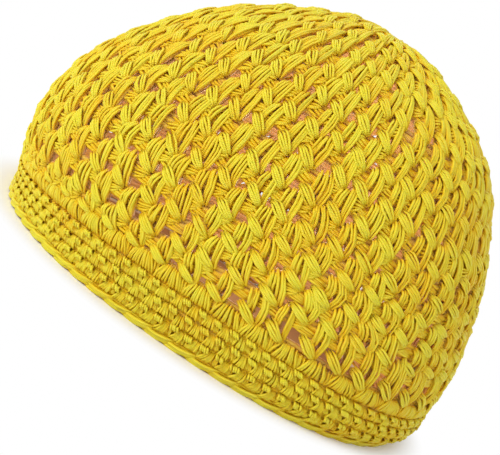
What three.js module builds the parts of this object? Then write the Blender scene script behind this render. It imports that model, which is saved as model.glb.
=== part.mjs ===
// A crocheted kufi, a soft round skull cap, resting on its rim.
// Millimetres, +Z up, the origin under the middle of the hat on the surface it rests on, the front towards -Y.
import * as THREE from "three";

// Overall sizes of the hat, outside the yarn.
const hatWidth = 197;
const hatDepth = 163;
const hatHeight = 133;
const planExponent = 2.25; // 2 is an ellipse, more is squarer

// The crown is open puff stitch, and a round is one ring of stitches.
const crownWall = 3.8;
const ridgeHeight = 0.8; // how far a round's ridge stands off the grooves beside it
const stitchesInRound = 48;
const stitchesPerGap = 3; // one cut gap stands for the gaps of this many stitches
const gapWidthInStitches = 0.5;
const gapHeight = 4.6;

// The band is close work, taller at the front and back than at the sides, and least on the left.
const bandWall = 3.2;
const bandHeightAtFront = 27;
const bandHeightAtLeft = 17.5;
const bandHeightAtRight = 22;
const bandRidgeHeight = 0.8;

// The edging is a round of chain stitches with a flat underside.
const edgingWidth = 4;
const edgingHeight = 3.2;
const edgingBevel = 0.8;

const pieceGap = 0.3; // clearance between neighbouring pieces

// Sections of the dome. Height is a share of the hat's height, reach a share of half the hat's width or depth,
// and lean the shift of the section's middle to the right, as a share of half the width.
const domeSections = [
  { height: 0, reach: 0.93, lean: 0 },
  { height: 0.06, reach: 0.965, lean: 0.03 },
  { height: 0.14, reach: 0.985, lean: 0.015 },
  { height: 0.26, reach: 1, lean: 0 },
  { height: 0.4, reach: 0.965, lean: -0.01 },
  { height: 0.54, reach: 0.89, lean: 0 },
  { height: 0.67, reach: 0.775, lean: 0.02 },
  { height: 0.78, reach: 0.655, lean: 0.045 },
  { height: 0.87, reach: 0.5, lean: 0.06 },
  { height: 0.94, reach: 0.325, lean: 0.06 },
  { height: 1, reach: 0, lean: 0.05 },
];

// Grooves between the crown's rounds, as shares of the way from the band's top to the middle of the crown.
// Tilt is how much higher a groove lies at the right side, and lower at the left, in the same shares.
const crownGrooves = [
  { climb: 0.07, tilt: 0.03, pierced: true },
  { climb: 0.155, tilt: 0.028, pierced: true },
  { climb: 0.232, tilt: 0.024, pierced: true },
  { climb: 0.317, tilt: 0.014, pierced: true },
  { climb: 0.41, tilt: 0.005, pierced: true },
  { climb: 0.5, tilt: 0, pierced: true },
  { climb: 0.598, tilt: 0, pierced: true },
  { climb: 0.684, tilt: 0, pierced: false },
  { climb: 0.772, tilt: 0, pierced: false },
  { climb: 0.853, tilt: 0, pierced: false },
  { climb: 0.915, tilt: 0, pierced: false },
  { climb: 0.962, tilt: 0, pierced: false },
];
const middleRing = 0.99; // the small ring that the first round is worked into

// Grooves between the band's rounds, as shares of the way from the edging to the band's top.
const bandGrooves = [{ climb: 0.245 }, { climb: 0.495 }, { climb: 0.72 }];

// The plan of the hat: an oval a little squarer than an ellipse, of unit reach.
class PlanOval extends THREE.Curve {
  getPoint(share, target = new THREE.Vector2()) {
    const angle = 2 * Math.PI * share;
    const across = Math.cos(angle);
    const along = Math.sin(angle);
    const power = Math.abs(across) ** planExponent + Math.abs(along) ** planExponent;
    const radius = power ** (-1 / planExponent);
    return target.set((radius * across * hatWidth) / 2, (radius * along * hatDepth) / 2);
  }
}
const plan = new PlanOval();
plan.arcLengthDivisions = 1440;

// The squared reach runs through the sections, so that the crown closes in a round top.
const sectionCurve = new THREE.CubicInterpolant(
  domeSections.map((section) => section.height),
  domeSections.flatMap((section) => [section.reach ** 2, section.lean]),
  2,
);

// A point of the dome's outside. Around runs from 0 to 1 from the right side towards the back, and level is a height.
function onOutside(around, level) {
  const [squaredReach, lean] = sectionCurve.evaluate(level / hatHeight);
  const reach = Math.sqrt(Math.max(squaredReach, 0));
  const spot = plan.getPointAt(around - Math.floor(around));
  return new THREE.Vector3(reach * spot.x + (lean * hatWidth) / 2, reach * spot.y, level);
}

// The outward direction there, from two short steps along the surface.
function outward(around, level) {
  const step = 0.002;
  const low = Math.max(level - step * hatHeight, 0);
  const high = Math.min(level + step * hatHeight, hatHeight * (1 - step / 10));
  const sideways = onOutside(around + step, level).sub(onOutside(around - step, level));
  const upward = onOutside(around, high).sub(onOutside(around, low));
  return sideways.cross(upward).normalize();
}

// A point at a distance off the dome's outside, positive outwards and negative into the wall.
function offDome(around, level, offset) {
  return onOutside(around, level).addScaledVector(outward(around, level), offset);
}

// The line where band and crown meet is higher at the front and back than at the sides.
function bandTop(around) {
  const sideways = Math.cos(2 * Math.PI * around); // 1 at the right side, -1 at the left
  const sideHeight = sideways > 0 ? bandHeightAtRight : bandHeightAtLeft;
  return bandHeightAtFront + (sideHeight - bandHeightAtFront) * sideways ** 2;
}

function crownLevel(around, climb, tilt) {
  const tiltedClimb = climb + tilt * Math.cos(2 * Math.PI * around);
  return bandTop(around) + tiltedClimb * (hatHeight - bandTop(around));
}

function bandLevel(around, climb) {
  return edgingHeight + climb * (bandTop(around) - edgingHeight);
}

// Collects points and the triangles between them, and hands them back as a mesh.
class Skin {
  points = [];
  faces = [];

  addPoint(point) {
    this.points.push(point.x, point.y, point.z);
    return this.points.length / 3 - 1;
  }

  addQuad(a, b, c, d) {
    this.faces.push(a, b, c, a, c, d);
  }

  addTriangle(a, b, c) {
    this.faces.push(a, b, c);
  }

  mesh(name, material) {
    const geometry = new THREE.BufferGeometry();
    geometry.setAttribute("position", new THREE.Float32BufferAttribute(this.points, 3));
    geometry.setIndex(this.faces);
    geometry.computeVertexNormals();
    const mesh = new THREE.Mesh(geometry, material);
    mesh.name = name;
    return mesh;
  }
}

// Stations round the hat: four for each group of stitches, so that a gap can start at the first or the third.
function stationsAround() {
  const groups = stitchesInRound / stitchesPerGap;
  const halfGroup = stitchesPerGap / 2;
  const inGroup = [0, gapWidthInStitches, halfGroup, halfGroup + gapWidthInStitches];
  const stations = [];
  for (let group = 0; group < groups; group++) {
    for (const stitch of inGroup) {
      stations.push((group + stitch / stitchesPerGap) / groups);
    }
  }
  return stations;
}
const stations = stationsAround();
const stationsPerGap = 4;
const evenRoundShift = 2; // in every other round the gaps start two stations on

// Levels up the crown, each a row of points at a distance off the outside.
function crownRows() {
  const groove = -ridgeHeight;
  const rows = [{ climb: 0, tilt: 0, lift: pieceGap, off: 0 }];
  let below = 0;
  crownGrooves.forEach(({ climb, tilt, pierced }, round) => {
    if (pierced) {
      rows.push({ climb, tilt, lift: -gapHeight / 2, off: groove, piercedRound: round });
      rows.push({ climb, tilt, lift: gapHeight / 2, off: 0 });
    } else {
      rows.push({ climb: (below + climb) / 2, tilt, lift: 0, off: 0 });
      rows.push({ climb, tilt, lift: 0, off: groove });
    }
    below = climb;
  });
  rows.push({ climb: middleRing, tilt: 0, lift: 0, off: 0 });
  return rows;
}

// The crown: a domed wall, closed at the top, with gaps cut through between its lower rounds.
function makeCrown(material) {
  const skin = new Skin();
  const rows = crownRows();
  const grids = [0, crownWall].map((inset) =>
    rows.map(({ climb, tilt, lift, off }) =>
      stations.map((around) => {
        // Near the top the surface is almost flat, so a lift along it is a smaller change of level.
        const level = crownLevel(around, climb, tilt) + lift * (1 - climb ** 2);
        const relief = inset === 0 ? off : 0;
        return skin.addPoint(offDome(around, level, relief - inset));
      }),
    ),
  );
  const [outer, inner] = grids;
  const middle = onOutside(0, hatHeight);
  const outerTop = skin.addPoint(middle);
  const innerTop = skin.addPoint(middle.clone().setZ(hatHeight - crownWall));

  const count = stations.length;
  const isGap = (row, station) => {
    const round = rows[row].piercedRound;
    if (round === undefined) return false;
    const shift = (round % 2) * evenRoundShift;
    return station % stationsPerGap === shift;
  };
  for (let station = 0; station < count; station++) {
    const next = (station + 1) % count;
    for (let row = 0; row < rows.length - 1; row++) {
      const outside = [
        outer[row][station],
        outer[row][next],
        outer[row + 1][next],
        outer[row + 1][station],
      ];
      const inside = [
        inner[row][station],
        inner[row][next],
        inner[row + 1][next],
        inner[row + 1][station],
      ];
      if (isGap(row, station)) {
        for (let side = 0; side < 4; side++) {
          const after = (side + 1) % 4;
          skin.addQuad(outside[side], outside[after], inside[after], inside[side]);
        }
      } else {
        skin.addQuad(...outside);
        skin.addQuad(...inside.reverse());
      }
    }
    const last = rows.length - 1;
    skin.addTriangle(outer[last][station], outer[last][next], outerTop);
    skin.addTriangle(inner[last][next], inner[last][station], innerTop);
    skin.addQuad(inner[0][station], inner[0][next], outer[0][next], outer[0][station]);
  }
  return skin.mesh("crown", material);
}

// A closed ring that runs round the hat through the same section points at each station.
function makeRing(name, sectionAt, material) {
  const skin = new Skin();
  const sections = stations.map((around) =>
    sectionAt(around).map((point) => skin.addPoint(point)),
  );
  sections.forEach((section, station) => {
    const nextSection = sections[(station + 1) % sections.length];
    section.forEach((corner, side) => {
      const after = (side + 1) % section.length;
      skin.addQuad(corner, nextSection[side], nextSection[after], section[after]);
    });
  });
  return skin.mesh(name, material);
}

// The band: its outside climbs in ridges, one for each round, and its inside is smooth.
function bandSection(around) {
  const bottom = edgingHeight + pieceGap;
  const top = bandTop(around);
  const outside = [offDome(around, bottom, -bandRidgeHeight)];
  let below = 0;
  for (const climb of [...bandGrooves.map((groove) => groove.climb), 1]) {
    outside.push(offDome(around, bandLevel(around, (below + climb) / 2), 0));
    outside.push(offDome(around, bandLevel(around, climb), climb < 1 ? -bandRidgeHeight : 0));
    below = climb;
  }
  const inside = [top, (top + bottom) / 2, bottom].map((level) =>
    offDome(around, level, -bandWall),
  );
  // The two faces towards the neighbours stay at one level each.
  outside[0].z = bottom;
  outside[outside.length - 1].z = top;
  inside[0].z = top;
  inside[inside.length - 1].z = bottom;
  return [...outside, ...inside];
}

// The edging: a bevelled cord under the band's wall, flat where it rests.
function edgingSection(around) {
  const outerFace = onOutside(around, edgingHeight);
  const out = outward(around, edgingHeight).setZ(0).normalize();
  const middle = outerFace.addScaledVector(out, -bandWall / 2).setZ(0);
  const halfWidth = edgingWidth / 2;
  const corners = [
    [-halfWidth + edgingBevel, 0],
    [halfWidth - edgingBevel, 0],
    [halfWidth, edgingBevel],
    [halfWidth, edgingHeight - edgingBevel],
    [halfWidth - edgingBevel, edgingHeight],
    [-halfWidth + edgingBevel, edgingHeight],
    [-halfWidth, edgingHeight - edgingBevel],
    [-halfWidth, edgingBevel],
  ];
  return corners.map(([offset, level]) =>
    middle.clone().addScaledVector(out, offset).setZ(level),
  );
}

const cotton = { roughness: 0.9, metalness: 0 };
const crownCotton = new THREE.MeshStandardMaterial({ color: 0xe9cf35, ...cotton });
const bandCotton = new THREE.MeshStandardMaterial({ color: 0xe3c930, ...cotton });
const edgingCotton = new THREE.MeshStandardMaterial({ color: 0xdcc22c, ...cotton });

const kufi = new THREE.Group();
kufi.add(makeCrown(crownCotton));
kufi.add(makeRing("band", bandSection, bandCotton));
kufi.add(makeRing("edging", edgingSection, edgingCotton));

export default kufi;
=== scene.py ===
# The looks of a crocheted cotton kufi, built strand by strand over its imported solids.
# Blender objects are in metres. The yarn is worked out in millimetres and scaled once, when a mesh is made.
import math

import bpy
import numpy as np
from mathutils import Matrix, Vector


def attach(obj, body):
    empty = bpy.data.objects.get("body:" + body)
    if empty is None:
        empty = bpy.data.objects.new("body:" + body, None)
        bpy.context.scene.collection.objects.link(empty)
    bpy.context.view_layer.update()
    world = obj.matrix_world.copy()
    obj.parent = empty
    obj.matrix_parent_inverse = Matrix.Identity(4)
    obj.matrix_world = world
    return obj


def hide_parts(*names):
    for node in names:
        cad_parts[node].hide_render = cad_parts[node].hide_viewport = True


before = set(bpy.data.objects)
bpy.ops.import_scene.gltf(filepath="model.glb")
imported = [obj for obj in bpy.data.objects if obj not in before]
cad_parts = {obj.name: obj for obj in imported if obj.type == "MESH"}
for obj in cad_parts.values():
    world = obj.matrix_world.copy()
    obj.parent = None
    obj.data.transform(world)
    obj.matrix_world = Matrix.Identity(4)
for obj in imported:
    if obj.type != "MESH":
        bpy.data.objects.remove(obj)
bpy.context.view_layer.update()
draw = np.random.default_rng(48)

METRES = 0.001

# Sizes of the hat, as in its solids.
HAT_WIDTH = 197.0
HAT_DEPTH = 163.0
HAT_HEIGHT = 133.0
PLAN_EXPONENT = 2.25
BAND_TOP_AT_FRONT = 26.0
BAND_TOP_AT_LEFT = 17.5
BAND_TOP_AT_RIGHT = 22.0
EDGING_HEIGHT = 3.2

# Sections of the dome: share of the height, reach as a share of the plan, lean as a share of half the width.
DOME_SECTIONS = np.array(
    [
        (0, 0.93, 0),
        (0.06, 0.965, 0.03),
        (0.14, 0.985, 0.015),
        (0.26, 1, 0),
        (0.4, 0.965, -0.01),
        (0.54, 0.89, 0),
        (0.67, 0.775, 0.02),
        (0.78, 0.655, 0.045),
        (0.87, 0.5, 0.06),
        (0.94, 0.325, 0.06),
        (1, 0, 0.05),
    ]
)

# Lines between the crown's rounds, from the band up: the climb of each as a share of the way from the band's
# top to the pole, and how much higher it lies at the right side. Each round is worked between two lines.
CROWN_CLIMBS = np.array(
    [0, 0.08, 0.16, 0.242, 0.322, 0.413, 0.505, 0.601, 0.688, 0.774, 0.853, 0.915, 0.962, 0.992]
)
CROWN_TILTS = np.array([0, 0.042, 0.036, 0.032, 0.018, 0.006, 0, 0, 0, 0, 0, 0, 0, 0])
TOP_CLIMB = 0.9985  # no yarn is laid higher, because the pole has no direction outward
CROWN_STITCHES = [48, 48, 48, 48, 48, 48, 46, 45, 43, 42, 36, 27, 17]
CROWN_GROUPS = [(0, 1), (2, 3), (4, 5), (6, 7), (8, 9), (10, 11, 12)]  # rounds that share a mesh
FRONT_SHARE = 0.77  # the place near the front where each round is set against the round below
FIRST_TIP = 0.24  # how far the first tip of the lowest round stands from that place, in stitches
ROUND_SHIFT = 0.35  # how far the tips of a round stand to the right of those below, in stitches

# Rounds of the band from the edging up: the climb of the lines between them, the tall round last.
BAND_CLIMBS = [0, 0.245, 0.495, 0.72, 1]
SHORT_ROUNDS = 3
BAND_STITCHES = 88
CHAIN_LINKS = 60

CLOSER_ON_LEFT = 0.11  # how much closer than evenly the stitches stand on the left, and wider on the right
FULLEST = 0.98  # the place on the right where the work is tightest

SIDES = 5  # of the tube that a ply is
END_WIDTH = 0.5  # the width of an open ply's end, as a share
TWIST_LENGTH = 0.6  # from one ridge of the twisted strands to the next, along a ply
TWIST_START = 5.0  # a ply's twist starts anywhere within this length, so that no two look alike
SIDE_SHADE_DEPTH = 0.5  # how many mm deeper than it lies the side of a ply is coloured, for painted shade on the ply's sides
PROUD = 1.2  # how far a lift of 0, where the foremost plies run, stands off the solids' outside
ROUND_ABOVE = 50.0  # the level from which the hat's outside turns from a wall into a dome


# The dome's surface

def oval_table():
    """Points of the hat's plan against the share of the way round it."""
    angle = np.linspace(0, 2 * np.pi, 1441)
    across, along = np.cos(angle), np.sin(angle)
    power = np.abs(across) ** PLAN_EXPONENT + np.abs(along) ** PLAN_EXPONENT
    radius = power ** (-1 / PLAN_EXPONENT)
    x, y = radius * across * HAT_WIDTH / 2, radius * along * HAT_DEPTH / 2
    length = np.concatenate([[0], np.cumsum(np.hypot(np.diff(x), np.diff(y)))])
    return length / length[-1], x, y


OVAL_SHARE, OVAL_X, OVAL_Y = oval_table()


def through_sections(height):
    """Squared reach and lean at a share of the height, on a cubic through the sections."""
    at = DOME_SECTIONS[:, 0]
    values = np.stack([DOME_SECTIONS[:, 1] ** 2, DOME_SECTIONS[:, 2]], -1)
    last = len(at) - 2
    i = np.clip(np.searchsorted(at, height, side="right") - 1, 0, last)
    before, after = np.where(i > 0, i - 1, i + 1), np.where(i < last, i + 2, i)
    low, high = at[i], at[i + 1]
    half = (high - low) / 2
    weight_before, weight_after = half / (low - at[before]), half / (at[after] - high)
    p = (height - low) / (high - low)
    p2, p3 = p**2, p**3
    weights = (
        -weight_before * (p3 - 2 * p2 + p),
        (1 + weight_before) * p3 - (1.5 + 2 * weight_before) * p2 + (weight_before - 0.5) * p + 1,
        (1.5 + weight_after) * p2 - (1 + weight_after) * p3 + 0.5 * p,
        weight_after * (p3 - p2),
    )
    found = sum(w[..., None] * values[k] for w, k in zip(weights, (before, i, i + 1, after)))
    return found[..., 0], found[..., 1]


def on_outside(around, level):
    """Points of the dome's outside at shares of the way round and at levels."""
    squared, lean = through_sections(np.clip(level / HAT_HEIGHT, 0, 1))
    reach = np.sqrt(np.maximum(squared, 0))
    x = np.interp(around % 1, OVAL_SHARE, OVAL_X)
    y = np.interp(around % 1, OVAL_SHARE, OVAL_Y)
    return np.stack([reach * x + lean * HAT_WIDTH / 2, reach * y, level], -1)


def unit(vectors):
    """Vectors of length 1."""
    return vectors / np.maximum(np.linalg.norm(vectors, axis=-1, keepdims=True), 1e-9)


def off_dome(around, level, lift):
    """Points off the dome's outside by their lift, which is negative into the wall."""
    step = 0.002
    highest = HAT_HEIGHT * (1 - step / 4)
    level = np.minimum(level, highest)
    low = np.maximum(level - step * HAT_HEIGHT, 0)
    high = np.minimum(level + step * HAT_HEIGHT, HAT_HEIGHT * (1 - step / 10))
    sideways = on_outside(around + step, level) - on_outside(around - step, level)
    upward = on_outside(around, high) - on_outside(around, low)
    outward = unit(np.cross(sideways, upward))
    return on_outside(around, level) + outward * (np.asarray(lift) + PROUD)[..., None]


def band_top(around):
    """Level of the band's top line, highest at the front and the back."""
    sideways = np.cos(2 * np.pi * around)
    side = np.where(sideways > 0, BAND_TOP_AT_RIGHT, BAND_TOP_AT_LEFT)
    return BAND_TOP_AT_FRONT + (side - BAND_TOP_AT_FRONT) * sideways**2


def spread(share):
    """Where round the hat a stitch falls: the stitches are closer on the left than on the right."""
    return share + CLOSER_ON_LEFT / (2 * np.pi) * np.sin(2 * np.pi * share)


def tightness(around):
    """How tight the work is: 0 on the left, where it is open, and up to 1 at the right and the back."""
    side = 0.5 + 0.5 * np.cos(2 * np.pi * (around - FULLEST))
    back = np.maximum(np.sin(2 * np.pi * around), 0)
    return np.maximum(side, back)


def tilt_share(around):
    """-1 at the left side, 1 at the right side, and steeper than a cosine between them."""
    sideways = np.cos(2 * np.pi * around)
    return sideways * (1.5 - 0.5 * sideways**2)


def on_crown(share, round_index, rise, lift):
    """A point of the crown. Share runs round the hat, and rise from 0 to 1 up one round and on past it."""
    around = spread(share)
    tilt = tilt_share(around)
    climbs = [CROWN_CLIMBS[line] + CROWN_TILTS[line] * tilt for line in (round_index, round_index + 1)]
    # The dome flattens towards the pole, so the rise is shared out along the root of what is left to climb.
    low, high = (1 - np.sqrt(1 - climb) for climb in climbs)
    way = low + rise * (high - low)
    climb = np.minimum(1 - (1 - np.minimum(way, 1)) ** 2, TOP_CLIMB)
    top = band_top(around)
    return off_dome(around, top + climb * (HAT_HEIGHT - top), lift)


def on_band(share, row, rise, lift):
    """A point of the band. Rise from 0 to 1 runs up one of its rounds."""
    around = spread(share)
    low, high = BAND_CLIMBS[row], BAND_CLIMBS[row + 1]
    climb = low + rise * (high - low)
    level = EDGING_HEIGHT + climb * (band_top(around) - EDGING_HEIGHT)
    return off_dome(around, level, lift)


# Yarn

def spline_weights(samples, count, closed):
    """Weights of the control points at places along a smooth curve through them."""
    weights = np.zeros((len(samples), count))
    for row, at in enumerate(samples):
        first = int(at) if closed else min(int(at), count - 2)
        t = at - first
        pull = (
            -0.5 * t + t**2 - 0.5 * t**3,
            1 - 2.5 * t**2 + 1.5 * t**3,
            0.5 * t + 2 * t**2 - 1.5 * t**3,
            -0.5 * t**2 + 0.5 * t**3,
        )
        for step, share in zip((-1, 0, 1, 2), pull):
            index = first + step
            index = index % count if closed else min(max(index, 0), count - 1)
            weights[row, index] += share
    return weights


class Yarn:
    """Plies of yarn gathered into one mesh."""

    def __init__(self):
        self.points = []
        self.faces = []
        self.uvs = []
        self.shade_depths = []
        self.count = 0

    def lay(self, paths, lift, samples, radius, closed=True):
        """Adds a tube along each path. Paths is an array of strands by control points by 3."""
        weights = spline_weights(samples, paths.shape[1], closed)
        lift = np.broadcast_to(lift, paths.shape[:2]) @ weights.T
        paths = weights @ paths
        strands, rings, _ = paths.shape
        radius = np.broadcast_to(radius, (strands,))[:, None, None]
        if closed:
            ahead, behind = np.roll(paths, -1, 1), np.roll(paths, 1, 1)
        else:
            ahead = np.concatenate([paths[:, 1:], paths[:, -1:]], 1)
            behind = np.concatenate([paths[:, :1], paths[:, :-1]], 1)
        along = unit(ahead - behind)
        across = self.carry(along, closed)
        other = np.cross(along, across)
        turn = 2 * np.pi * np.arange(SIDES) / SIDES
        ring = np.cos(turn)[:, None] * across[:, :, None] + np.sin(turn)[:, None] * other[:, :, None]
        width = np.ones(rings)
        if not closed:
            width[[0, -1]] = END_WIDTH
        points = paths[:, :, None] + ring * (radius * width[:, None])[..., None]
        centre = np.zeros(paths.shape)
        centre[..., 2] = np.minimum(paths[..., 2], ROUND_ABOVE)
        facing = np.sum(ring * unit(paths - centre)[:, :, None], -1)

        steps = np.linalg.norm(ahead - paths, axis=-1)
        length = np.concatenate([np.zeros((strands, 1)), np.cumsum(steps, 1)], 1)
        length += draw.uniform(0, TWIST_START, (strands, 1))
        spans = rings if closed else rings - 1
        strand, span, side = np.meshgrid(
            np.arange(strands), np.arange(spans), np.arange(SIDES), indexing="ij"
        )
        base = self.count + strand * rings * SIDES
        here, there = base + span * SIDES, base + (span + 1) % rings * SIDES
        after = (side + 1) % SIDES
        faces = np.stack([here + side, here + after, there + after, there + side], -1)
        start, end = length[strand, span], length[strand, span + 1]
        uvs = np.stack(
            [
                np.stack([side / SIDES, (side + 1) / SIDES, (side + 1) / SIDES, side / SIDES], -1),
                np.stack([start, start, end, end], -1),
            ],
            -1,
        )
        self.add_faces(faces, uvs)
        if not closed:
            corner = np.arange(SIDES)
            first = self.count + np.arange(strands)[:, None] * rings * SIDES + corner[::-1]
            last = first[:, ::-1] + (rings - 1) * SIDES
            for cap, place in ((first, length[:, 0]), (last, length[:, -2])):
                across_cap = np.broadcast_to(corner / SIDES, cap.shape)
                along_cap = np.broadcast_to(place[:, None], cap.shape)
                self.add_faces(cap, np.stack([across_cap, along_cap], -1))
        self.points.append(points.reshape(-1, 3))
        # The depth sets only the colour: yarn that lies further in, and the sides of a ply that turn away
        # from outside, get more painted shade.
        self.shade_depths.append((-lift[..., None] - radius * facing + SIDE_SHADE_DEPTH * (1 - facing)).ravel())
        self.count += strands * rings * SIDES

    @staticmethod
    def carry(along, closed):
        """A direction across each strand, carried along it without twist."""
        least = np.argmin(np.abs(along[:, 0]), -1)
        side = np.eye(3)[least]
        carried = []
        for ring in range(along.shape[1]):
            tangent = along[:, ring]
            side = unit(side - np.sum(side * tangent, -1, keepdims=True) * tangent)
            carried.append(side)
        carried = np.stack(carried, 1)
        if closed:
            tangent = along[:, 0]
            back = unit(side - np.sum(side * tangent, -1, keepdims=True) * tangent)
            first = carried[:, 0]
            turned = np.arctan2(np.sum(np.cross(first, back) * tangent, -1), np.sum(first * back, -1))
            angle = (-turned[:, None] * np.arange(along.shape[1]) / along.shape[1])[..., None]
            carried = carried * np.cos(angle) + np.cross(along, carried) * np.sin(angle)
        return carried

    def add_faces(self, faces, uvs):
        """Adds faces with the same number of corners, and their places on the yarn's map."""
        corners = faces.shape[-1]
        self.faces.append(faces.reshape(-1, corners))
        self.uvs.append(uvs.reshape(-1, 2))

    def piece(self, name, material, slot, *nodes):
        """Makes the mesh, puts it on the hat and says which solid it takes the place of."""
        points = np.concatenate(self.points) * METRES
        sizes = np.concatenate([np.full(len(f), f.shape[1]) for f in self.faces])
        corners = np.concatenate([f.ravel() for f in self.faces])
        mesh = bpy.data.meshes.new(name)
        mesh.vertices.add(len(points))
        mesh.vertices.foreach_set("co", points.astype(np.float32).ravel())
        mesh.loops.add(len(corners))
        mesh.loops.foreach_set("vertex_index", corners.astype(np.int32))
        mesh.polygons.add(len(sizes))
        mesh.polygons.foreach_set("loop_start", (np.cumsum(sizes) - sizes).astype(np.int32))
        mesh.polygons.foreach_set("use_smooth", np.ones(len(sizes), bool))
        uv_layer = mesh.uv_layers.new(name="Yarn")
        uv_layer.data.foreach_set("uv", np.concatenate(self.uvs).astype(np.float32).ravel())
        depth = mesh.attributes.new("depth", "FLOAT", "POINT")
        depth.data.foreach_set("value", np.concatenate(self.shade_depths).astype(np.float32))
        mesh.update(calc_edges=True)
        mesh.validate()
        mesh.materials.append(material)
        piece = bpy.data.objects.new(name, mesh)
        bpy.context.scene.collection.objects.link(piece)
        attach(piece, "root")
        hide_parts(*nodes)


# Stitches of the crown

# A point has three values: across from its stitch's tip in stitches, up from it in rounds, and lift in mm.

# Plies of one puff, three on the left that end behind the leaf and three on the right that run to the tip.
# Columns: across and up at the top, across in the middle, across and up at the foot.
PUFF_PLIES = [
    (-0.52, 1.10, -0.52, -0.47, 0.50),
    (-0.44, 1.20, -0.435, -0.39, 0.48),
    (-0.36, 1.17, -0.35, -0.31, 0.45),
    (-0.29, 1.30, -0.19, -0.10, 0.20),
    (-0.21, 1.35, -0.105, -0.03, 0.11),
    (-0.13, 1.27, -0.02, 0.04, 0.05),
]
PUFF_SAMPLES = [0, 1, 2, 2.9, 3.7, 4.4, 5.3, 6.5, 7.7, 8.9]
PUFF_RADIUS = 0.56
PUFF_MIDDLE = -0.22  # across, from where a puff widens to both sides
HIGHEST_RISE = 1.3  # the height that a puff leans and swells up to, in rounds

# Plies of one leaf, the slanted bundle that closes the puff: four points each, across and up.
LEAF_PLIES = [
    [(-0.57, 0.56), (-0.39, 0.475), (-0.20, 0.285), (-0.02, 0.07)],
    [(-0.62, 0.50), (-0.44, 0.395), (-0.237, 0.205), (-0.04, 0.03)],
    [(-0.64, 0.44), (-0.475, 0.315), (-0.272, 0.13), (-0.07, 0.00)],
    [(-0.62, 0.38), (-0.49, 0.24), (-0.305, 0.06), (-0.11, -0.03)],
]
LEAF_SAMPLES = [0, 0.9, 1.8, 2.6, 3.3, 4.3, 5.6]
LEAF_RADIUS = 0.51

# Plies on the line between two rounds: four that fan out from the tip down to the left, and three that run
# from under them down to the right. Four points each, across and up.
FAN_PLIES = [
    [(0.03, -0.06), (-0.14, -0.04), (-0.32, -0.05), (-0.62, -0.02)],
    [(0.01, -0.10), (-0.14, -0.12), (-0.32, -0.16), (-0.60, -0.18)],
    [(-0.02, -0.14), (-0.15, -0.20), (-0.31, -0.26), (-0.55, -0.31)],
    [(-0.05, -0.19), (-0.16, -0.27), (-0.29, -0.35), (-0.48, -0.42)],
]
CROSS_PLIES = [
    [(-0.50, -0.02), (-0.20, -0.14), (0.06, -0.24), (0.46, -0.28)],
    [(-0.52, -0.16), (-0.20, -0.26), (0.04, -0.34), (0.44, -0.38)],
    [(-0.54, -0.32), (-0.24, -0.37), (0.00, -0.43), (0.42, -0.45)],
]
ROPE_SAMPLES = [0, 0.75, 1.5, 2.25, 3]
FAN_RADIUS = 0.5
CROSS_RADIUS = 0.6

# The thick yarn behind the front plies, one run for each group of the puff and one for the leaf.
CORES = [
    [(-0.45, 1.12, -2.4), (-0.44, 0.8, -1.8), (-0.41, 0.5, -1.8), (-0.38, 0.2, -2.4)],
    [(-0.20, 1.22, -2.4), (-0.12, 0.85, -1.8), (-0.05, 0.45, -1.8), (-0.02, 0.05, -2.3)],
    [(-0.60, 0.47, -2.2), (-0.44, 0.36, -1.7), (-0.25, 0.18, -1.65), (-0.07, 0.01, -2.1)],
]
CORE_SAMPLES = [0, 1, 2, 3]
CORE_RADIUS = 1.15

# Yarns carried along behind the line under a round. Columns: up in rounds, lift and radius in mm.
CARRIED_YARNS = [(0.08, -3.1, 1.1), (-0.14, -2.9, 1.5), (-0.34, -3.0, 1.4)]

# Rings round the pole that the last round is gathered into. Columns: up in rounds and lift in mm.
MIDDLE_RINGS = [(1.05, -1.0), (1.25, -1.1), (1.5, -1.3), (1.1, -2.4)]
MIDDLE_POINTS = 12
MIDDLE_RADIUS = 0.7

# How a crown stitch changes with how tight the work is: the value where the work is open, and what it gains
# where the work is tightest.
PUFF_LEAN = (0.025, -0.05)
PUFF_WIDTH = (0.96, 0.22)
PUFF_SWELL = (-0.056, 0.16)
LEAF_GROWTH = (-0.12, 0.3)
LEAF_FLATTENING = (-0.032, 0.08)
LEAF_GROWTH_A_ROUND = 0.035
LEAF_LIFT_A_ROUND = 0.03

# Where the rounds draw in, the stitches stand up straighter than the lines to the pole.
UPRIGHT = 0.32  # how far a stitch turns back from such a line for one round up, in stitches
UPRIGHT_ON_LEFT = 1.5  # on the left the turn is this many times as large
STRAIGHT_AT = 0.72  # the place near the front where no stitch turns
LAST_STRAIGHT_ROUND = 1
ROUNDS_TO_FULL_TURN = 6
MOST_TURNED = 1.3  # past the full turn it grows on up to this many times as large

# How unevenly the yarn is worked, as the spread of each value.
TIP_SPREAD = 0.06
DROP_SPREAD = 0.045
LEAN_SPREAD = 0.065
WIDTH_SPREAD = 0.09
SWELL_SPREAD = 0.07
CROWN_LIFT_SPREAD = 0.14
RADIUS_SPREAD = 0.06
PUFF_LOOSENESS = 0.019
CROWN_LOOSENESS = 0.015
BAND_LOOSENESS = 0.02
BAND_STEP_SPREAD = 0.035
BAND_LIFT_SPREAD = 0.1


def puff_path(top, height, middle, foot, foot_rise):
    """One ply of a puff as a closed loop: up the front, over the line above and down the back."""
    span = height - foot_rise
    return np.array(
        [
            (foot, foot_rise, -1.6),
            (0.55 * middle + 0.45 * foot, foot_rise + 0.24 * span, -0.8),
            (middle, foot_rise + 0.5 * span, -0.45),
            (0.45 * middle + 0.55 * top, foot_rise + 0.78 * span, -0.5),
            (top, height - 0.02, -1.2),
            (top, height + 0.04, -2.2),
            (top, height - 0.1, -3.1),
            (0.6 * top + 0.2 * foot, 0.66, -3.6),
            (0.7 * foot, 0.25, -3.3),
            (0.9 * foot, max(foot_rise - 0.16, 0), -2.6),
        ]
    )


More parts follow.
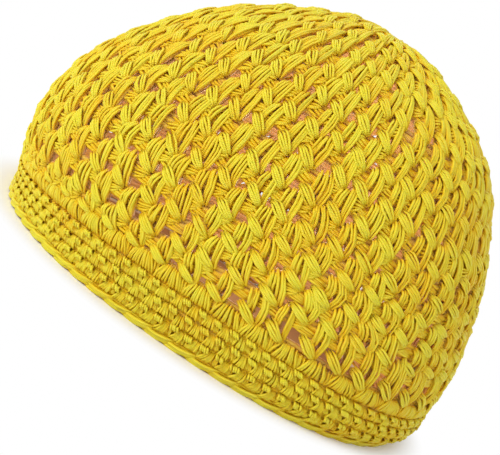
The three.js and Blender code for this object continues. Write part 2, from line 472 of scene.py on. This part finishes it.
def leaf_path(points):
    """One ply of a leaf: down the front to the stitch's tip and back behind."""
    (a0, b0), (a1, b1), (a2, b2), (a3, b3) = points
    return np.array(
        [
            (a0, b0, -1.3),
            (a1, b1, -0.2),
            (a2, b2, 0.0),
            (a3, b3, -0.9),
            (a3 + 0.02, b3 - 0.02, -2.2),
            (a2, b2 - 0.02, -3.0),
            (a0 + 0.06, b0 - 0.04, -2.6),
        ]
    )


def fan_path(points):
    """One ply that fans out from a tip, sunk at both ends."""
    (a0, b0), (a1, b1), (a2, b2), (a3, b3) = points
    return np.array([(a0, b0, -1.5), (a1, b1, -0.95), (a2, b2, -1.0), (a3, b3, -2.0)])


def cross_path(points):
    """One ply that crosses under the fans."""
    (a0, b0), (a1, b1), (a2, b2), (a3, b3) = points
    return np.array([(a0, b0, -2.2), (a1, b1, -1.6), (a2, b2, -1.4), (a3, b3, -2.4)])


def with_tightness(pair, tight):
    """A value that changes with how tight the work is."""
    value_when_open, gain = pair
    return value_when_open + gain * tight


class CrownRound:
    """Where the stitches of one round stand and how each is shaped, for all their plies to follow."""

    def __init__(self, index):
        count = CROWN_STITCHES[index]
        first = FRONT_SHARE * count + FIRST_TIP + ROUND_SHIFT * index
        self.index = index
        self.count = count
        self.tips = np.arange(count) + first + draw.normal(0, TIP_SPREAD, count)
        self.drop = draw.normal(0, DROP_SPREAD, (count, 1))
        around = spread(self.tips / count)
        tight = tightness(around)[:, None]
        self.tight = tight
        self.lean = with_tightness(PUFF_LEAN, tight) + draw.normal(0, LEAN_SPREAD, (count, 1))
        sideways = np.sin(2 * np.pi * (around - STRAIGHT_AT))
        side = np.where(sideways < 0, UPRIGHT_ON_LEFT, 1)
        turn = np.clip((index - LAST_STRAIGHT_ROUND) / ROUNDS_TO_FULL_TURN, 0, MOST_TURNED)
        self.slant = (UPRIGHT * sideways * side * turn)[:, None]
        self.width = with_tightness(PUFF_WIDTH, tight) + draw.normal(0, WIDTH_SPREAD, (count, 1))
        self.swell = with_tightness(PUFF_SWELL, tight) + draw.normal(0, SWELL_SPREAD, (count, 1))

    def as_puff(self, across, rise):
        """Widens, leans and swells a ply as its stitch's puff is."""
        share_up = np.clip(rise / HIGHEST_RISE, 0, 1)
        across = (across - PUFF_MIDDLE) * self.width + PUFF_MIDDLE
        return across + self.lean * share_up + self.swell * np.sin(np.pi * share_up), rise

    def as_leaf(self, across, rise):
        """Draws out a ply as its stitch's leaf is."""
        growth = with_tightness(LEAF_GROWTH, self.tight) + LEAF_GROWTH_A_ROUND * self.index
        return across * (1 + growth), rise * (1 - with_tightness(LEAF_FLATTENING, self.tight))

    def lay(self, yarn, path, samples, radius, closed=True, shape=None, loose=CROWN_LOOSENESS, lifted=0.0):
        """Lays one ply of every stitch along the same path."""
        points = np.repeat(path[None], self.count, 0)
        across, rise, lift = points[..., 0], points[..., 1], points[..., 2]
        along = rise
        if shape:
            across, rise = shape(across, rise)
        across = across + self.slant * along
        across = across + draw.normal(0, loose, (self.count, 1)) + draw.normal(0, loose / 2, across.shape)
        rise = rise + self.drop + draw.normal(0, loose, rise.shape)
        lift = lift + draw.normal(0, CROWN_LIFT_SPREAD, (self.count, 1)) + lifted
        share = (self.tips[:, None] + across) / self.count
        thickness = radius * draw.normal(1, RADIUS_SPREAD, self.count)
        yarn.lay(on_crown(share, self.index, rise, lift), lift, samples, thickness, closed)


def crown_stitches(yarn, index):
    """All the stitches of one round of the crown, and the yarns carried along under them."""
    stitches = CrownRound(index)
    for ply in PUFF_PLIES:
        path = puff_path(*ply)
        stitches.lay(yarn, path, PUFF_SAMPLES, PUFF_RADIUS, shape=stitches.as_puff, loose=PUFF_LOOSENESS)
    for ply in LEAF_PLIES:
        lifted = LEAF_LIFT_A_ROUND * index
        stitches.lay(yarn, leaf_path(ply), LEAF_SAMPLES, LEAF_RADIUS, shape=stitches.as_leaf, lifted=lifted)
    for path in CORES:
        stitches.lay(yarn, np.array(path), CORE_SAMPLES, CORE_RADIUS, closed=False, shape=stitches.as_puff)
    crown_line(yarn, index)
    if index > 0:
        for ply in FAN_PLIES:
            stitches.lay(yarn, fan_path(ply), ROPE_SAMPLES, FAN_RADIUS, closed=False)
        for ply in CROSS_PLIES:
            stitches.lay(yarn, cross_path(ply), ROPE_SAMPLES, CROSS_RADIUS, closed=False)


def crown_line(yarn, index):
    """The yarns carried along under the stitches' feet, all the way round."""
    count = CROWN_STITCHES[index] * 2
    share = np.arange(count)[None] / count
    for rise, depth, radius in CARRIED_YARNS:
        lift = np.full((1, count), depth)
        points = on_crown(share, index, np.full((1, count), rise), lift)
        yarn.lay(points, lift, np.arange(count), radius)


def crown_middle(yarn):
    """The rings at the pole."""
    share = np.arange(MIDDLE_POINTS)[None] / MIDDLE_POINTS
    samples = np.arange(0, MIDDLE_POINTS, 0.5)
    last = len(CROWN_STITCHES) - 1
    for height, depth in MIDDLE_RINGS:
        rise = np.full((1, MIDDLE_POINTS), height)
        lift = np.full((1, MIDDLE_POINTS), depth)
        yarn.lay(on_crown(share, last, rise, lift), lift, samples, MIDDLE_RADIUS)


# Stitches of the band

def band_rows(yarn, row, count, first, plies, samples, radius, closed=True):
    """The same plies for each stitch of one round, the first of them at a place counted in stitches."""
    step = draw.normal(0, BAND_STEP_SPREAD, (count, 1))
    for path in plies:
        points = np.repeat(np.array(path)[None], count, 0)
        across = points[..., 0] + draw.normal(0, BAND_LOOSENESS, (count, 1))
        across = across + draw.normal(0, BAND_LOOSENESS / 2, across.shape)
        rise = points[..., 1] + draw.normal(0, BAND_LOOSENESS, (count, 1)) + step
        lift = points[..., 2] + draw.normal(0, BAND_LIFT_SPREAD, (count, 1))
        share = (np.arange(count)[:, None] + first + across) / count
        thickness = radius * draw.normal(1, RADIUS_SPREAD, count)
        yarn.lay(on_band(share, row, rise, lift), lift, samples, thickness, closed)


def upright(top, foot, height, lift):
    """One ply of an upright stitch of the band as a closed loop."""
    middle = 0.5 * (top + foot)
    return [
        (foot, 0.02, -1.7),
        (0.55 * foot + 0.45 * middle, 0.25, -0.75 + lift),
        (middle, 0.58, -0.35 + lift),
        (top, height - 0.16, -0.7 + lift),
        (top, height, -1.7),
        (top, height - 0.1, -2.6),
        (middle, 0.5, -3.0),
        (foot, 0.07, -2.7),
    ]


# Plies of a tall stitch: ten in a rounded fan, and four sunk between it and the next.
TALL_FAN = [
    upright(-0.24 + 0.062 * k, -0.42 + 0.105 * k, 1.08 + 0.03 * (k % 2), -0.006 * (k - 4) ** 2)
    for k in range(10)
]
TALL_BETWEEN = [upright(0.40 + 0.09 * k, 0.50 + 0.055 * k, 0.94, -0.7) for k in range(4)]
TALL_RADIUS = 0.54
TALL_SHIFT = 0.22  # how far a fan stands to the right of the tip above it, in stitches
UPRIGHT_SAMPLES = [0, 0.9, 1.8, 2.6, 3.3, 4.1, 5.2, 6.6]

# Plies of a single crochet: the fan in front, the slanted ones beside it and the short top loop over them.
SHORT_FAN = [
    [
        (-0.22 + 0.085 * k, 0.94, -2.0),
        (-0.24 + 0.1 * k, 0.68, -0.75),
        (-0.31 + 0.13 * k, 0.32, -0.3),
        (-0.40 + 0.155 * k, -0.02, -1.5),
    ]
    for k in range(5)
]
SHORT_SLANT = [
    [
        (0.16 + 0.07 * k, 0.86, -2.2),
        (0.24 + 0.085 * k, 0.6, -1.6),
        (0.33 + 0.09 * k, 0.3, -0.85),
        (0.39 + 0.095 * k, 0.0, -1.7),
    ]
    for k in range(4)
]
SHORT_LOOP = [
    [
        (0.20 + 0.12 * k, 1.04, -1.5),
        (0.25 + 0.12 * k, 0.98, 0.1),
        (0.34 + 0.12 * k, 0.78, 0.15),
        (0.38 + 0.12 * k, 0.58, -1.5),
    ]
    for k in range(4)
]
SHORT_RADIUS = 0.5
LOOP_RADIUS = 0.52
SHORT_SHIFT = 0.55  # how far a round's stitches stand to the right of those below, in stitches

# Thick yarns behind the band's stitches, at heights within one round.
TALL_LINE_RISES = (0.1, 0.4, 0.7)
SHORT_LINE_RISES = (0.12, 0.5, 0.88)
BAND_LINE_LIFT = -2.7
BAND_LINE_RADIUS = 1.3
LINE_POINTS = 120

# Chain links. Columns of the path: across in links, up from the ply's level and lift, both in mm.
LINK_PATH = [(-0.7, 0, -2.2), (-0.35, -0.1, -0.8), (0.1, 0.15, -0.2), (0.55, 0.75, -0.6), (0.95, 1.3, -2.2)]
LINK_SAMPLES = np.linspace(0, 4, 8)
LINK_LEVELS = (0.85, 1.45, 2.05)
LOWEST_LINK = 0.75
LINK_RADIUS = 0.72
LINK_PLACE_SPREAD = 0.03
LINK_LEVEL_SPREAD = 0.08
INNER_LINK_SAMPLES = np.linspace(0, 4, 6)
LOWEST_INNER_LINK = 0.6
INNER_LINK_RADIUS = 0.53
INNER_LINK_LIFT = -2.6
INNER_LINK_BULGE = 0.3  # how much of the front plies' lift the inner ones have
EDGE_YARNS = [(2.6, -2.0), (3.6, -2.3)]  # level and lift
EDGE_YARN_RADIUS = 1.1


def band_line(yarn, row, rises):
    """The thick yarns behind one round of the band, all the way round."""
    share = np.arange(LINE_POINTS)[None] / LINE_POINTS
    lift = np.full((1, LINE_POINTS), BAND_LINE_LIFT)
    for height in rises:
        rise = np.full((1, LINE_POINTS), height)
        yarn.lay(on_band(share, row, rise, lift), lift, np.arange(LINE_POINTS), BAND_LINE_RADIUS)


def tall_round(yarn):
    """The band's topmost round, whose fans stand under the crown's first stitches."""
    count = CROWN_STITCHES[0]
    first = FRONT_SHARE * count + FIRST_TIP + TALL_SHIFT
    band_rows(yarn, SHORT_ROUNDS, count, first, TALL_FAN + TALL_BETWEEN, UPRIGHT_SAMPLES, TALL_RADIUS)
    band_line(yarn, SHORT_ROUNDS, TALL_LINE_RISES)


def short_round(yarn, row):
    """One round of single crochet."""
    for plies, samples, radius in (
        (SHORT_FAN, ROPE_SAMPLES, SHORT_RADIUS),
        (SHORT_SLANT, CORE_SAMPLES, SHORT_RADIUS),
        (SHORT_LOOP, CORE_SAMPLES, LOOP_RADIUS),
    ):
        band_rows(yarn, row, BAND_STITCHES, SHORT_SHIFT * row, plies, samples, radius, closed=False)
    band_line(yarn, row, SHORT_LINE_RISES)


def chain_edge(yarn):
    """The chain round the opening: plies in front, plies behind them, and two yarns that fill it."""
    count = CHAIN_LINKS
    for base in LINK_LEVELS:
        points = np.repeat(np.array(LINK_PATH)[None], count, 0)
        across = points[..., 0] + draw.normal(0, LINK_PLACE_SPREAD, (count, 1))
        level = base + points[..., 1] + draw.normal(0, LINK_LEVEL_SPREAD, (count, 1))
        share = (np.arange(count)[:, None] + across) / count
        lift = points[..., 2]
        outer = off_dome(spread(share), np.maximum(level, LOWEST_LINK), lift)
        yarn.lay(outer, lift, LINK_SAMPLES, LINK_RADIUS, closed=False)
        inner = lift * INNER_LINK_BULGE + INNER_LINK_LIFT
        half_link = 0.5 / count
        behind = off_dome(spread(share + half_link), np.maximum(level, LOWEST_INNER_LINK), inner)
        yarn.lay(behind, inner, INNER_LINK_SAMPLES, INNER_LINK_RADIUS, closed=False)
    share = np.arange(LINE_POINTS)[None] / LINE_POINTS
    for height, depth in EDGE_YARNS:
        level = np.full((1, LINE_POINTS), height)
        lift = np.full((1, LINE_POINTS), depth)
        yarn.lay(off_dome(share, level, lift), lift, np.arange(LINE_POINTS), EDGE_YARN_RADIUS)


# Materials

CROWN_COLOUR_AND_SHADE = ((0.875, 0.745, 0.032), (0.90, 0.535, 0.0))  # in front, and painted shade between the plies
BAND_COLOUR_AND_SHADE = ((0.865, 0.73, 0.03), (0.89, 0.525, 0.0))
# Painted shade: the brown that the yarn is given on the inside of the hat, where it lies in shade.
PAINTED_INSIDE_SHADE = (0.70, 0.43, 0.20)
FRONT_DEPTH = -0.3  # the depth up to which the yarn has its colour in front
INSIDE_DEPTH = 4.0  # the depth from which it has the painted shade of the inside
BETWEEN_PLIES = 0.45  # where on the way to the inside it has the painted shade between the plies
MOTTLING = 0.12  # how far patches shift it either way, as a share of that way
STRANDS_IN_PLY = 2
TWIST_HEIGHT = 0.15  # of the strands' ridges


def node(tree, kind, **values):
    """Adds a node and sets its inputs and settings by name."""
    made = tree.nodes.new(kind)
    for name, value in values.items():
        if name in made.inputs:
            made.inputs[name].default_value = value
        else:
            setattr(made, name, value)
    return made


def map_range(tree, value, low, high, to_low=0.0, to_high=1.0, kind="LINEAR"):
    """Maps a value from one range to another and keeps it inside."""
    made = node(tree, "ShaderNodeMapRange", interpolation_type=kind)
    made.inputs["From Min"].default_value = low
    made.inputs["From Max"].default_value = high
    made.inputs["To Min"].default_value = to_low
    made.inputs["To Max"].default_value = to_high
    tree.links.new(value, made.inputs["Value"])
    return made.outputs["Result"]


def colour_and_shade_by_depth(tree, light, crevice_shade):
    """The yarn's colour from the depth at which it lies in mm, with painted shade that turns it orange
    between the plies and brown on the inside, a little mottled.
    """
    link = tree.links.new
    place = node(tree, "ShaderNodeTexCoord")
    patches = node(tree, "ShaderNodeTexNoise", Scale=60, Detail=3)
    link(place.outputs["Object"], patches.inputs["Vector"])
    depth = node(tree, "ShaderNodeAttribute", attribute_name="depth")
    share = node(tree, "ShaderNodeMath", operation="ADD", use_clamp=True)
    link(map_range(tree, depth.outputs["Fac"], FRONT_DEPTH, INSIDE_DEPTH), share.inputs[0])
    link(map_range(tree, patches.outputs["Fac"], 0.35, 0.65, -MOTTLING, MOTTLING), share.inputs[1])
    # Past the front colour the ramp runs into painted shade: orange between the plies, then brown on the
    # shaded inside of the hat.
    ramp = node(tree, "ShaderNodeValToRGB")
    first, last = ramp.color_ramp.elements
    first.color = (*light, 1)
    last.color = (*PAINTED_INSIDE_SHADE, 1)
    between = ramp.color_ramp.elements.new(BETWEEN_PLIES)
    between.color = (*crevice_shade, 1)
    link(share.outputs[0], ramp.inputs["Fac"])
    return ramp.outputs["Color"]


def twist(tree):
    """The bumps of a ply's twisted strands, from the place round and along the ply."""
    link = tree.links.new
    yarn_map = node(tree, "ShaderNodeUVMap", uv_map="Yarn")
    parts = node(tree, "ShaderNodeSeparateXYZ")
    link(yarn_map.outputs["UV"], parts.inputs["Vector"])
    around = node(tree, "ShaderNodeMath", operation="MULTIPLY")
    around.inputs[1].default_value = STRANDS_IN_PLY * 2 * math.pi
    link(parts.outputs["X"], around.inputs[0])
    along = node(tree, "ShaderNodeMath", operation="MULTIPLY_ADD")
    along.inputs[1].default_value = 2 * math.pi / TWIST_LENGTH
    link(parts.outputs["Y"], along.inputs[0])
    link(around.outputs[0], along.inputs[2])
    wave = node(tree, "ShaderNodeMath", operation="SINE")
    link(along.outputs[0], wave.inputs[0])
    bump = node(tree, "ShaderNodeBump", Strength=0.7, Distance=TWIST_HEIGHT * METRES)
    link(wave.outputs[0], bump.inputs["Height"])
    return bump.outputs["Normal"]


def cotton(name, light, crevice_shade):
    """Yellow yarn, with painted shade that makes it more orange between the plies and brown on the inside of
    the hat.
    """
    material = bpy.data.materials.new(name)
    material.use_nodes = True
    tree = material.node_tree
    shader = tree.nodes["Principled BSDF"]
    shader.inputs["Roughness"].default_value = 0.45
    shader.inputs["Specular IOR Level"].default_value = 0.42
    shader.inputs["Subsurface Weight"].default_value = 0.35
    shader.inputs["Subsurface Radius"].default_value = (0.65, 0.5, 0.12)
    shader.inputs["Subsurface Scale"].default_value = METRES
    tree.links.new(colour_and_shade_by_depth(tree, light, crevice_shade), shader.inputs["Base Color"])
    tree.links.new(twist(tree), shader.inputs["Normal"])
    return material


crown_cotton = cotton("crown_cotton", *CROWN_COLOUR_AND_SHADE)
band_cotton = cotton("band_cotton", *BAND_COLOUR_AND_SHADE)
edging_cotton = cotton("edging_cotton", *BAND_COLOUR_AND_SHADE)

# The hat

for number, rounds in enumerate(CROWN_GROUPS, 1):
    yarn = Yarn()
    for index in rounds:
        crown_stitches(yarn, index)
    if number == len(CROWN_GROUPS):
        crown_middle(yarn)
    yarn.piece(f"crown_rounds_{number}", crown_cotton, "crown_cotton", "crown")

yarn = Yarn()
tall_round(yarn)
yarn.piece("band_tall_round", band_cotton, "band_cotton", "band")
for row in range(SHORT_ROUNDS):
    yarn = Yarn()
    short_round(yarn, row)
    yarn.piece(f"band_short_round_{row + 1}", band_cotton, "band_cotton", "band")
yarn = Yarn()
chain_edge(yarn)
yarn.piece("edging_chain", edging_cotton, "edging_cotton", "edging")

# Studio

def world_light(scene):
    """Even light, with pure white behind the hat."""
    world = bpy.data.worlds.new("studio")
    scene.world = world
    world.use_nodes = True
    tree = world.node_tree
    background = tree.nodes["Background"]
    background.inputs["Color"].default_value = (1, 1, 1, 1)
    background.inputs["Strength"].default_value = 0.85
    white = node(tree, "ShaderNodeBackground", Color=(1, 1, 1, 1), Strength=1.0)
    rays = node(tree, "ShaderNodeLightPath")
    mix = node(tree, "ShaderNodeMixShader")
    tree.links.new(rays.outputs["Is Camera Ray"], mix.inputs["Fac"])
    tree.links.new(background.outputs["Background"], mix.inputs[1])
    tree.links.new(white.outputs["Background"], mix.inputs[2])
    tree.links.new(mix.outputs["Shader"], tree.nodes["World Output"].inputs["Surface"])


def white_floor(scene):
    """White paper that shows the hat's soft shadow close to the rim, is pure white away from it and has
    painted shade under the hat.
    """
    mesh = bpy.data.meshes.new("floor")
    half = 40.0
    corners = [(-half, -half, 0), (half, -half, 0), (half, half, 0), (-half, half, 0)]
    mesh.from_pydata(corners, [], [(0, 1, 2, 3)])
    floor = bpy.data.objects.new("floor", mesh)
    scene.collection.objects.link(floor)
    paper = bpy.data.materials.new("floor_paper")
    paper.use_nodes = True
    tree = paper.node_tree
    link = tree.links.new
    shader = tree.nodes["Principled BSDF"]
    shader.inputs["Roughness"].default_value = 0.9
    place = node(tree, "ShaderNodeTexCoord")
    shrink = node(tree, "ShaderNodeVectorMath", operation="MULTIPLY")
    shrink.inputs[1].default_value = (2 / (HAT_WIDTH * METRES), 2 / (HAT_DEPTH * METRES), 0)
    link(place.outputs["Object"], shrink.inputs[0])
    distance = node(tree, "ShaderNodeVectorMath", operation="LENGTH")
    link(shrink.outputs["Vector"], distance.inputs[0])
    # The distance is 1 where the hat is widest. Under the hat the paper is painted dark brown, as painted
    # shade for the shaded inside of the hat.
    away = map_range(tree, distance.outputs["Value"], 0.95, 1.12, kind="SMOOTHSTEP")
    under = map_range(tree, distance.outputs["Value"], 0.9, 0.96)
    painted_shade_under_hat = node(tree, "ShaderNodeValToRGB")
    painted_shade_under_hat.color_ramp.elements[0].color = (0.3, 0.18, 0.09, 1)
    painted_shade_under_hat.color_ramp.elements[1].color = (0.9, 0.9, 0.9, 1)
    link(under, painted_shade_under_hat.inputs["Fac"])
    link(painted_shade_under_hat.outputs["Color"], shader.inputs["Base Color"])
    rays = node(tree, "ShaderNodeLightPath")
    seen = node(tree, "ShaderNodeMath", operation="MULTIPLY")
    link(away, seen.inputs[0])
    link(rays.outputs["Is Camera Ray"], seen.inputs[1])
    glow = node(tree, "ShaderNodeEmission", Color=(1, 1, 1, 1), Strength=1.0)
    mix = node(tree, "ShaderNodeMixShader")
    link(seen.outputs[0], mix.inputs["Fac"])
    link(shader.outputs["BSDF"], mix.inputs[1])
    link(glow.outputs["Emission"], mix.inputs[2])
    link(mix.outputs["Shader"], tree.nodes["Material Output"].inputs["Surface"])
    mesh.materials.append(paper)


def key_light(scene):
    """Soft daylight from the upper left, in front of the hat."""
    data = bpy.data.lights.new("key", "SUN")
    data.energy = 1.65
    data.angle = math.radians(25)
    light = bpy.data.objects.new("key", data)
    light.rotation_mode = "QUATERNION"
    light.rotation_quaternion = Vector((-0.75, -0.5, 0.5)).to_track_quat("Z", "Y")
    scene.collection.objects.link(light)


def glow_inside(scene):
    """The daylight that the yarn lets through into the hat."""
    data = bpy.data.lights.new("inside", "POINT")
    data.energy = 0.21
    data.shadow_soft_size = 0.03
    data.color = (1, 0.88, 0.72)
    light = bpy.data.objects.new("inside", data)
    light.location = (0, 0, 0.06)
    scene.collection.objects.link(light)


def studio():
    """Light, paper and the way colours are shown."""
    scene = bpy.context.scene
    scene.view_settings.view_transform = "Standard"
    world_light(scene)
    white_floor(scene)
    key_light(scene)
    glow_inside(scene)


def camera():
    """Stands close to the hat, level with its top, and is rolled, so that the hat tips to the right."""
    distance = 0.5
    height_angle = math.radians(9)
    roll = math.radians(34)
    centre = Vector((0, 0, 0.06))
    place = centre + distance * Vector((0, -math.cos(height_angle), math.sin(height_angle)))
    aim = Vector((-0.0018, 0, 0.037))
    forward = (aim - place).normalized()
    right = forward.cross(Vector((0, 0, 1))).normalized()
    up = right.cross(forward)
    rolled_right = math.cos(roll) * right + math.sin(roll) * up
    rolled_up = -math.sin(roll) * right + math.cos(roll) * up
    data = bpy.data.cameras.new("camera")
    data.sensor_width = 36
    data.lens = 88.4
    made = bpy.data.objects.new("camera", data)
    made.matrix_world = Matrix([*zip(rolled_right, rolled_up, -forward, place), (0, 0, 0, 1)])
    bpy.context.scene.collection.objects.link(made)
    bpy.context.scene.camera = made


studio()
camera()
